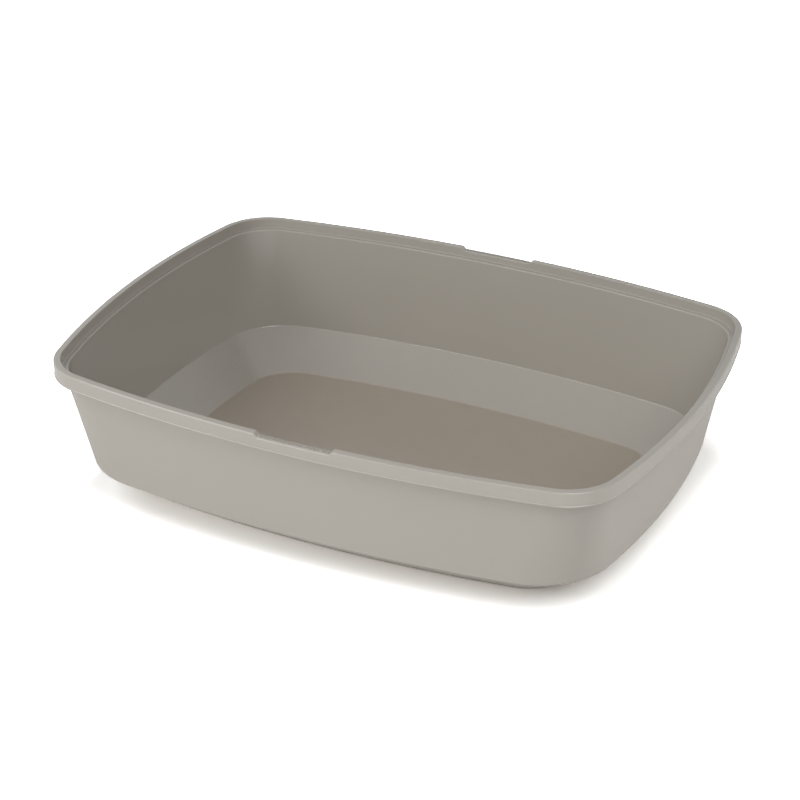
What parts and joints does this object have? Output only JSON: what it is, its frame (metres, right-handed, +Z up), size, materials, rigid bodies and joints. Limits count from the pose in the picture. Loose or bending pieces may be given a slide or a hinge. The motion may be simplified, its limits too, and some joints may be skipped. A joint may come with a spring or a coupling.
{
  "type": "sifting litter box",
  "caption": "Open litter box with bowed sides, a flat rim with ribbed grips, and nested litter pan, slotted sifting tray and catch pan that lift apart.",
  "frame": {"origin": "middle of the base, on the ground", "axes": "+X along the length, +Y across to the side away from the front grip, +Z up"},
  "size_m": [0.5, 0.385, 0.1225],
  "materials": {
    "taupe_plastic": "satin moulded plastic, warm taupe grey, with a fine grain on the inner slope"
  },
  "bodies": {
    "catch_pan": {"catch_pan": "taupe_plastic"},
    "sifting_tray": {"sifting_tray": "taupe_plastic"},
    "litter_pan": {"litter_pan": "taupe_plastic"}
  },
  "joints": [
    {"name": "tray_lift", "type": "slide", "parent": "catch_pan", "child": "sifting_tray", "axis": [0, 0, 1], "range_m": [0, 0.13]},
    {"name": "litter_pan_lift", "type": "slide", "parent": "sifting_tray", "child": "litter_pan", "axis": [0, 0, 1], "range_m": [0, 0.13]}
  ]
}
